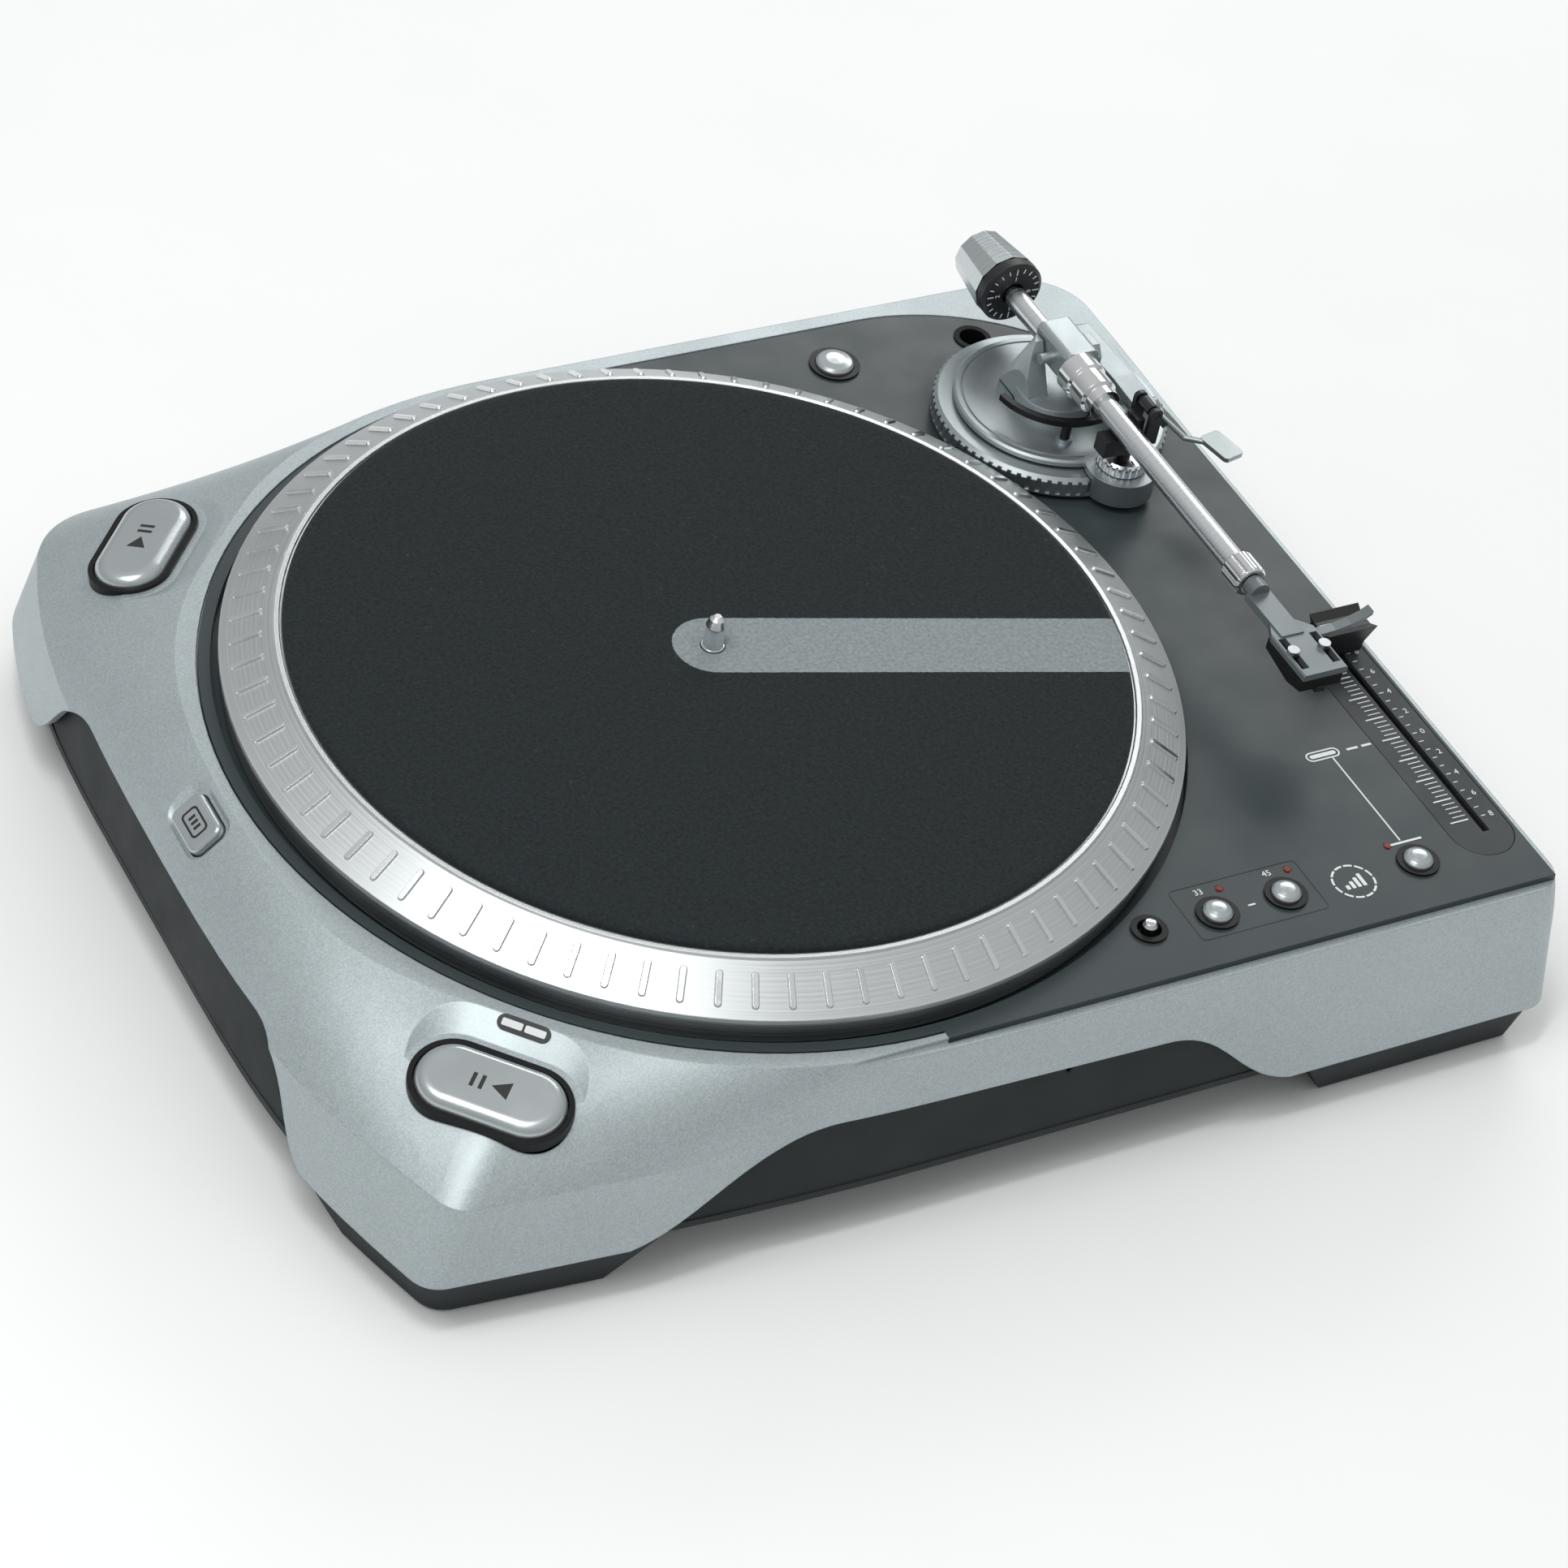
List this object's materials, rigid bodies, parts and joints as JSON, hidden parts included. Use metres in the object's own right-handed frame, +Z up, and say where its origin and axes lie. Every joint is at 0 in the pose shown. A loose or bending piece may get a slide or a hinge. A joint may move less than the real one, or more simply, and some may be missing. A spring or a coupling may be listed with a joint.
{
  "type": "turntable record player",
  "caption": "Direct-drive DJ turntable: silver shell with corner start buttons, round platter with felt slipmat, straight tonearm on a height ring and a long pitch fader.",
  "frame": {"origin": "under the middle of the machine, on the surface that it stands on", "axes": "+Z up, +X to the right with the tonearm, the front with the controls faces -Y"},
  "size_m": [0.4489, 0.3666, 0.1242],
  "materials": {
    "silver_shell": "satin silver paint",
    "deck_grey": "dark satin grey",
    "dark_plastic": "fine-grained matt black",
    "rubber": "matt rubber",
    "steel": "plain steel",
    "black_gloss": "gloss black",
    "lamp": "tinted lamp lens",
    "board": "circuit board",
    "scale_black": "matt black printed plate",
    "knob_black": "matt black",
    "silver_button": "bright silver",
    "platter_alloy": "cast and turned aluminium",
    "felt": "charcoal felt",
    "chrome": "bright chrome",
    "ferrite": "sintered magnet",
    "copper": "enamelled copper windings",
    "brass": "turned brass",
    "iron": "laminated core",
    "arm_silver": "bead-blasted silver",
    "arm_tube": "polished tube",
    "headshell_grey": "dark grey satin",
    "stylus_red": "dark gloss"
  },
  "bodies": {
    "housing": {"arm_base_flange": "dark_plastic", "audio_jacks": "brass", "base_tray": "dark_plastic", "bearing_housing": "brass", "button_bezels": "black_gloss", "case_screws": "steel", "corner_feet": "dark_plastic", "deck_panel": "deck_grey", "foot_pads": "rubber", "ground_terminal": "chrome", "headshell_socket": "black_gloss", "indicator_lamps": "lamp", "inlet_blades": "brass", "main_board": "board", "motor_board": "board", "motor_stator": "copper", "pitch_fader_body": "steel", "pitch_scale_plate": "scale_black", "power_inlet": "black_gloss", "power_transformer": "iron", "rear_panel": "dark_plastic", "switch_boards": "board", "target_guide": "dark_plastic", "top_shell": "silver_shell", "transformer_coil": "copper"},
    "platter_spin": {"platter": "platter_alloy", "slipmat": "felt", "spindle": "chrome", "rotor_magnet": "ferrite"},
    "pitch_control": {"pitch_slider": "steel", "pitch_knob": "knob_black"},
    "start_front": {"start_button_front": "silver_button"},
    "start_rear": {"start_button_rear": "silver_button"},
    "side_press": {"side_button": "silver_button"},
    "speed_33": {"speed_33_button": "silver_button"},
    "speed_45": {"speed_45_button": "silver_button"},
    "pitch_range": {"pitch_range_button": "silver_button"},
    "power": {"power_button": "silver_button"},
    "stylus_lamp": {"target_light": "silver_button"},
    "height_control": {"height_ring": "arm_silver"},
    "arm_base": {"arm_base_disc": "arm_silver", "side_bracket": "arm_silver", "rest_post": "knob_black", "swing_bearing": "brass"},
    "anti_skate": {"anti_skate_dial": "chrome"},
    "cueing_lever": {"cue_lever": "chrome"},
    "arm_lifter": {"lift_bar": "black_gloss"},
    "rest_latch": {"rest_clip": "knob_black"},
    "yoke": {"arm_yoke": "arm_silver"},
    "arm": {"bearing_block": "arm_silver", "arm_collars": "chrome", "arm_tube": "arm_tube", "headshell": "headshell_grey", "cartridge": "knob_black", "stylus": "stylus_red", "cartridge_screws": "steel"},
    "shell_nut": {"locking_collar": "chrome"},
    "weight_carrier": {"weight_sleeve": "brass"},
    "weight": {"counterweight": "arm_silver"},
    "force_ring": {"force_dial": "knob_black"}
  },
  "joints": [
    {"name": "platter_turn", "type": "hinge", "parent": "housing", "child": "platter_spin", "pos_m": [-0.0256, 0.0023, 0.08], "axis": [0, 0, 1], "continuous": true},
    {"name": "pitch_slide", "type": "slide", "parent": "housing", "child": "pitch_control", "axis": [0, -1, 0], "range_m": [0, 0.094]},
    {"name": "start_front_press", "type": "slide", "parent": "housing", "child": "start_front", "axis": [0.1496, 0.1444, -0.9781], "range_m": [0, 0.0015], "stiffness_N_per_m": 1200, "springref_m": -0.0006},
    {"name": "start_rear_press", "type": "slide", "parent": "housing", "child": "start_rear", "axis": [0.1545, -0.1391, -0.9781], "range_m": [0, 0.0015], "stiffness_N_per_m": 1200, "springref_m": -0.0006},
    {"name": "side_button_press", "type": "slide", "parent": "housing", "child": "side_press", "axis": [0.6691, 0, -0.7431], "range_m": [0, 0.0015], "stiffness_N_per_m": 900, "springref_m": -0.0006},
    {"name": "speed_33_press", "type": "slide", "parent": "housing", "child": "speed_33", "axis": [0, 0, -1], "range_m": [0, 0.0015], "stiffness_N_per_m": 900, "springref_m": -0.0006},
    {"name": "speed_45_press", "type": "slide", "parent": "housing", "child": "speed_45", "axis": [0, 0, -1], "range_m": [0, 0.0015], "stiffness_N_per_m": 900, "springref_m": -0.0006},
    {"name": "pitch_range_press", "type": "slide", "parent": "housing", "child": "pitch_range", "axis": [0, 0, -1], "range_m": [0, 0.0015], "stiffness_N_per_m": 900, "springref_m": -0.0006},
    {"name": "power_press", "type": "slide", "parent": "housing", "child": "power", "axis": [0, 0, -1], "range_m": [0, 0.0015], "stiffness_N_per_m": 900, "springref_m": -0.0006},
    {"name": "stylus_lamp_rise", "type": "slide", "parent": "housing", "child": "stylus_lamp", "axis": [0, 0, 1], "range_m": [0, 0.022]},
    {"name": "height_turn", "type": "hinge", "parent": "housing", "child": "height_control", "pos_m": [0.1639, 0.0948, 0.084], "axis": [0, 0, 1], "range_deg": [0, 270]},
    {"name": "arm_base_rise", "type": "slide", "parent": "housing", "child": "arm_base", "axis": [0, 0, 1], "range_m": [0, 0.006]},
    {"name": "anti_skate_turn", "type": "hinge", "parent": "arm_base", "child": "anti_skate", "pos_m": [0.1694, 0.0533, 0.092], "axis": [0, 0, 1], "range_deg": [0, 270]},
    {"name": "cue_lever_turn", "type": "hinge", "parent": "arm_base", "child": "cueing_lever", "pos_m": [0.1839, 0.0708, 0.099], "axis": [1, 0, 0], "range_deg": [-40, 0]},
    {"name": "arm_lifter_slide", "type": "slide", "parent": "arm_base", "child": "arm_lifter", "axis": [0, 0, -1], "range_m": [0, 0.004]},
    {"name": "rest_latch_turn", "type": "hinge", "parent": "arm_base", "child": "rest_latch", "pos_m": [0.1745, 0.0528, 0.117], "axis": [0, -1, 0], "range_deg": [0, 230]},
    {"name": "arm_swing", "type": "hinge", "parent": "arm_base", "child": "yoke", "pos_m": [0.1639, 0.0948, 0.094], "axis": [0, 0, -1], "range_deg": [0, 50]},
    {"name": "arm_tilt", "type": "hinge", "parent": "yoke", "child": "arm", "pos_m": [0.1639, 0.0948, 0.111], "axis": [1, 0, 0], "range_deg": [-9, 0.4]},
    {"name": "shell_nut_turn", "type": "hinge", "parent": "arm", "child": "shell_nut", "pos_m": [0.1639, -0.0332, 0.111], "axis": [0, 1, 0], "range_deg": [0, 90]},
    {"name": "weight_turn", "type": "hinge", "parent": "weight_carrier", "child": "weight", "pos_m": [0.1639, 0.1548, 0.111], "axis": [0, 1, 0], "range_deg": [-720, 720]},
    {"name": "weight_travel", "type": "slide", "parent": "arm", "child": "weight_carrier", "axis": [0, 1, 0], "range_m": [-0.00503, 0.00503]},
    {"name": "force_ring_turn", "type": "hinge", "parent": "weight_carrier", "child": "force_ring", "pos_m": [0.1639, 0.1388, 0.111], "axis": [0, 1, 0], "range_deg": [-180, 180]}
  ],
  "couplings": [
    {"joint": "arm_base_rise", "follows": "height_turn", "m_per_rad": 0.0012732},
    {"joint": "arm_lifter_slide", "follows": "cue_lever_turn", "m_per_rad": -0.0057296},
    {"joint": "weight_travel", "follows": "weight_turn", "m_per_rad": 0.0004}
  ]
}
